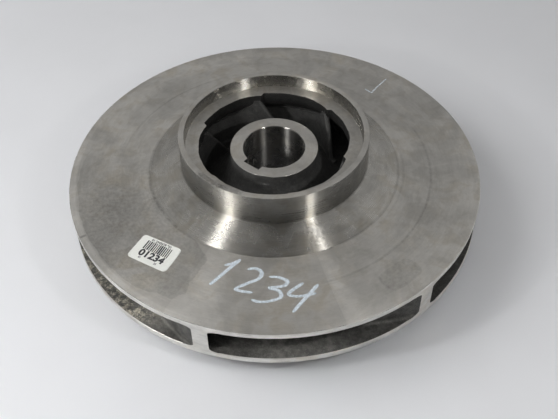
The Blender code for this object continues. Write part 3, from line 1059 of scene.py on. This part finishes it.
def make_bars_tree():
    """A row of upright bars, each of its own width."""
    kinds = {
        "Count": "Int",
        "Pitch": "Float",
        "Height": "Float",
        "Thinnest": "Float",
        "Widest": "Float",
        "Seed": "Int",
        "Ink": "Material",
    }
    tree, start, end = new_shape_tree("label_bars", kinds)
    step = add(tree, "ShaderNodeCombineXYZ", {0: start["Pitch"]}).outputs[0]
    line = add(tree, "GeometryNodeMeshLine", {"Count": start["Count"], "Offset": step}).outputs[0]
    inputs = {"Size X": 1.0, "Size Y": start["Height"], "Vertices X": 2, "Vertices Y": 12}
    bar = add(tree, "GeometryNodeMeshGrid", inputs).outputs[0]
    inputs = {2: start["Thinnest"], 3: start["Widest"], 8: start["Seed"]}
    width = add(tree, "FunctionNodeRandomValue", inputs, data_type="FLOAT").outputs[1]
    scale = add(tree, "ShaderNodeCombineXYZ", {0: width, 1: 1.0, 2: 1.0}).outputs[0]
    inputs = {"Points": line, "Instance": bar, "Scale": scale}
    bars = add(tree, "GeometryNodeInstanceOnPoints", inputs).outputs[0]
    whole = add(tree, "GeometryNodeRealizeInstances", {0: bars}).outputs[0]
    tree.links.new(paint_shape(tree, whole, start["Ink"]), end["Geometry"])
    return tree


def lay_on_label(piece, middle):
    """Moves a flat drawing from the label's own plane onto the label."""
    points = np.array([vertex.co[:2] for vertex in piece.data.vertices]) + np.array(middle)
    places = on_shroud(label_to_plan(points), PAPER + PRINT_LIFT)
    piece.data.vertices.foreach_set("co", places.ravel())
    piece.data.update()
    return install(piece, "label_paper")


def make_label_bars(ink):
    """The printed bars. They stand for no number."""
    piece = placed("label_bars", bpy.data.meshes.new("label_bars"))
    reshape(piece, make_bars_tree(), Seed=4, Ink=ink, **BARS)
    return lay_on_label(piece, BARS_START)


def text_shape(text, size, bold):
    """Plan points and faces of plain digits in Blender's own font."""
    curve = bpy.data.curves.new("digits", "FONT")
    curve.body = text
    curve.size = size
    curve.offset = bold
    curve.align_x = "CENTER"
    item = placed("digits", curve)
    mesh = made_mesh(item)
    points = np.array([vertex.co[:2] for vertex in mesh.vertices])
    faces = [tuple(face.vertices) for face in mesh.polygons]
    bpy.data.objects.remove(item, do_unlink=True)
    return points, faces


def make_label_digits(ink):
    """The printed rows of plain digits, in one piece."""
    places, faces = [], []
    for text, size, bold, stretch, middle, foot in PRINTED_ROWS:
        points, row_faces = text_shape(text, size * 0.001, bold * 0.001)
        first = sum(len(block) for block in places)
        faces += [tuple(first + index for index in face) for face in row_faces]
        places.append(points * np.array([stretch, 1.0]) + np.array([middle, foot]) * 0.001)
    flat = np.concatenate(places)
    mesh = new_mesh("label_digits", np.column_stack([flat, np.zeros(len(flat))]), faces, [ink])
    return lay_on_label(placed("label_digits", mesh), (0.0, 0.0))


def smooth_line(points):
    """A Catmull-Rom line through the points."""
    ends = np.concatenate([[2 * points[0] - points[1]], points, [2 * points[-1] - points[-2]]])
    line = []
    for p0, p1, p2, p3 in zip(ends, ends[1:], ends[2:], ends[3:]):
        for t in np.linspace(0.0, 1.0, 24)[:-1]:
            a = 2 * p1 + (p2 - p0) * t + (2 * p0 - 5 * p1 + 4 * p2 - p3) * t * t
            line.append(0.5 * (a + (3 * p1 - p0 - 3 * p2 + p3) * t**3))
    return evenly(np.array(line + [points[-1]]), 0.0005)


def ribbon(points, width):
    """Both borders of a pen stroke: round ends, and thinner where it runs across."""
    line = smooth_line(np.asarray(points, float))
    step = np.gradient(line, axis=0)
    step /= np.linalg.norm(step, axis=1)[:, None]
    across = np.column_stack([-step[:, 1], step[:, 0]])
    index = np.arange(len(line))
    press = 0.74 + 0.30 * np.abs(step[:, 1])
    wave = 1.0 + 0.05 * np.sin(index * 0.9) + 0.05 * np.sin(index * 2.3 + 1.0)
    ends = np.minimum(index, index[::-1]) * (0.5 / (width * 1000))
    taper = np.sqrt(np.clip(1.0 - (1.0 - np.clip(ends, 0.0, 1.0)) ** 2, 0.04, 1.0))
    reach = across * (width / 2 * press * wave * taper)[:, None]
    return line + reach, line - reach


def make_strokes(name, strokes, width, lift, material):
    """Flat strokes drawn on the shroud, each a strip of faces, in one piece."""
    places, faces = [], []
    for layer, stroke in enumerate(strokes):
        left, right = ribbon(np.array(stroke) * 0.001, width)
        height = lift + 0.00001 * layer
        first = sum(len(block) for block in places)
        count = len(left)
        places += [on_shroud(left, height), on_shroud(right, height)]
        for index in range(count - 1):
            a, b = first + index, first + count + index
            faces.append((a, b, b + 1, a + 1))
    mesh = new_mesh(name, np.concatenate(places), faces, [material])
    mesh.shade_smooth()
    return install(placed(name, mesh), "label_paper")


# Stage.


def make_camera():
    data = bpy.data.cameras.new("camera")
    data.sensor_width = SENSOR_WIDTH
    data.lens = CAMERA_LENS
    data.clip_start = 0.01
    camera = placed("camera", data)
    tilt = Matrix.Rotation(math.pi / 2 - CAMERA_DOWN, 4, "X")
    roll = Matrix.Rotation(CAMERA_ROLL, 4, "Z")
    camera.matrix_world = Matrix.Translation(CAMERA_PLACE) @ tilt @ roll
    bpy.context.scene.camera = camera


def make_light(name, azimuth, elevation, distance, size, power, glint):
    """A round light aimed at the object: either for the metal's glints or for all the rest."""
    data = bpy.data.lights.new(name, "AREA")
    data.shape = "DISK"
    data.size = size
    data.energy = power
    data.color = (1.0, 0.98, 0.95) if glint else (1.0, 1.0, 1.0)
    light = placed(name, data)
    azimuth, elevation = math.radians(azimuth), math.radians(elevation)
    level = math.cos(elevation)
    direction = Vector((math.cos(azimuth) * level, math.sin(azimuth) * level, math.sin(elevation)))
    light.location = direction * distance
    light.rotation_euler = direction.to_track_quat("Z", "Y").to_euler()
    light.visible_glossy = glint
    light.visible_diffuse = not glint
    light.visible_camera = False


def make_world():
    """Soft light with darker and lighter sides for the metal, and an even grey backdrop."""
    world = bpy.data.worlds.new("studio")
    world.use_nodes = True
    tree = world.node_tree
    way = add(tree, "ShaderNodeTexCoord").outputs["Generated"]
    x, y, z = add(tree, "ShaderNodeSeparateXYZ", {0: way}).outputs
    azimuth = maths(tree, "ARCTAN2", y, x)
    strength = spread(tree, z, *ROOM_OVERHEAD)
    strength = maths(tree, "MULTIPLY", strength, spread(tree, z, *ROOM_FOOT))
    strength = maths(tree, "MULTIPLY", strength, spread(tree, azimuth, *ROOM_BACK))
    for middle, reach, share in ROOM_SIDES:
        off = maths(tree, "ABSOLUTE", maths(tree, "SUBTRACT", azimuth, math.radians(middle)))
        near = math.radians(reach)
        side = spread(tree, off, near * 0.8, near * 1.2, share, 1.0)
        strength = maths(tree, "MULTIPLY", strength, side)
    seen = add(tree, "ShaderNodeLightPath").outputs["Is Camera Ray"]
    strength = add(tree, "ShaderNodeMix", {0: seen, 2: strength, 3: BACKDROP}).outputs[0]
    background = tree.nodes["Background"]
    background.inputs["Color"].default_value = (1.0, 0.99, 0.98, 1.0)
    tree.links.new(strength, background.inputs["Strength"])
    bpy.context.scene.world = world


def make_floor():
    corners = np.array([(-1, -1, 0), (1, -1, 0), (1, 1, 0), (-1, 1, 0)]) * FLOOR_REACH
    table = plain("pale_table", (0.79, 0.80, 0.825, 1.0), 0.6, 0.03, 4.0)
    mesh = new_mesh("floor", corners, [(0, 1, 2, 3)], [table])
    placed("floor", mesh)


def make_steel_pieces():
    """The five pieces of the casting. The steels differ in tone, roughness and turning marks, and
    carry painted highlights and painted shade.
    """
    groups = make_groups()
    steels = {}
    for name, *look in (
        ("disc", DULL, 0.37, 0.40, 0.0006, 0.035, DISC_MARKS_AND_PAINTED_LIGHT),
        ("faces", DULL, 0.40, 0.35, 0.0005, 0.03, FACE_MARKS),
        ("cone", scaled(CLEAN, 0.84), 0.28, 1.0, 0.0005, 0.05, CONE_MARKS_AND_SHADE),
        ("neck", scaled(CLEAN, 0.68), 0.29, 1.0, 0.0005, 0.06, NECK_MARKS_AND_HIGHLIGHT),
        ("inner", scaled(CLEAN, 0.78), 0.26, 1.0, 0.0005, 0.06, INNER_MARKS_AND_HIGHLIGHT),
        ("bore", BORE_SHADE, 0.28, 1.0, 0.0004, 0.05),
        ("rim", LIGHT, 0.38, 0.5, 0.0005, 0.05),
    ):
        steels[name] = turned_steel("turned_" + name, groups, *look)
    faces, rim = steels["faces"], steels["rim"]
    cast = cast_steel("cast_skin", groups)
    # The throat's cast skin is darker all over: painted shade in the eye.
    throat_shaded = cast_steel("cast_throat", groups, 0.36)
    make_front_shroud([steels["disc"], cast, steels["cone"], rim])
    make_back_shroud([faces, cast, faces, rim])
    make_neck([faces, throat_shaded, steels["neck"], steels["inner"]])
    make_hub([faces, cast, steels["bore"]])
    make_vanes(cast, rim)


def make_writing():
    """The label with its print, and the pen strokes beside it."""
    ink = plain("label_ink", (0.03, 0.03, 0.035, 1.0), 0.6)
    paint = plain("pen_paint", (0.60, 0.67, 0.73, 1.0), 0.5, 0.22, 500.0)
    faint = plain("pen_faint", (0.58, 0.64, 0.68, 1.0), 0.5, 0.25, 500.0)
    make_label(plain("label_paper_white", (0.78, 0.79, 0.75, 1.0), 0.55))
    make_label_bars(ink)
    make_label_digits(ink)
    make_strokes("pen_number", PEN_STROKES, 0.0033, 0.00006, paint)
    make_strokes("pen_tick", TICK_STROKES, 0.0015, 0.00004, faint)


def main():
    make_steel_pieces()
    make_writing()
    make_camera()
    for light in LIGHTS:
        make_light(*light)
    make_world()
    make_floor()
    bpy.context.scene.view_settings.view_transform = "Standard"


main()
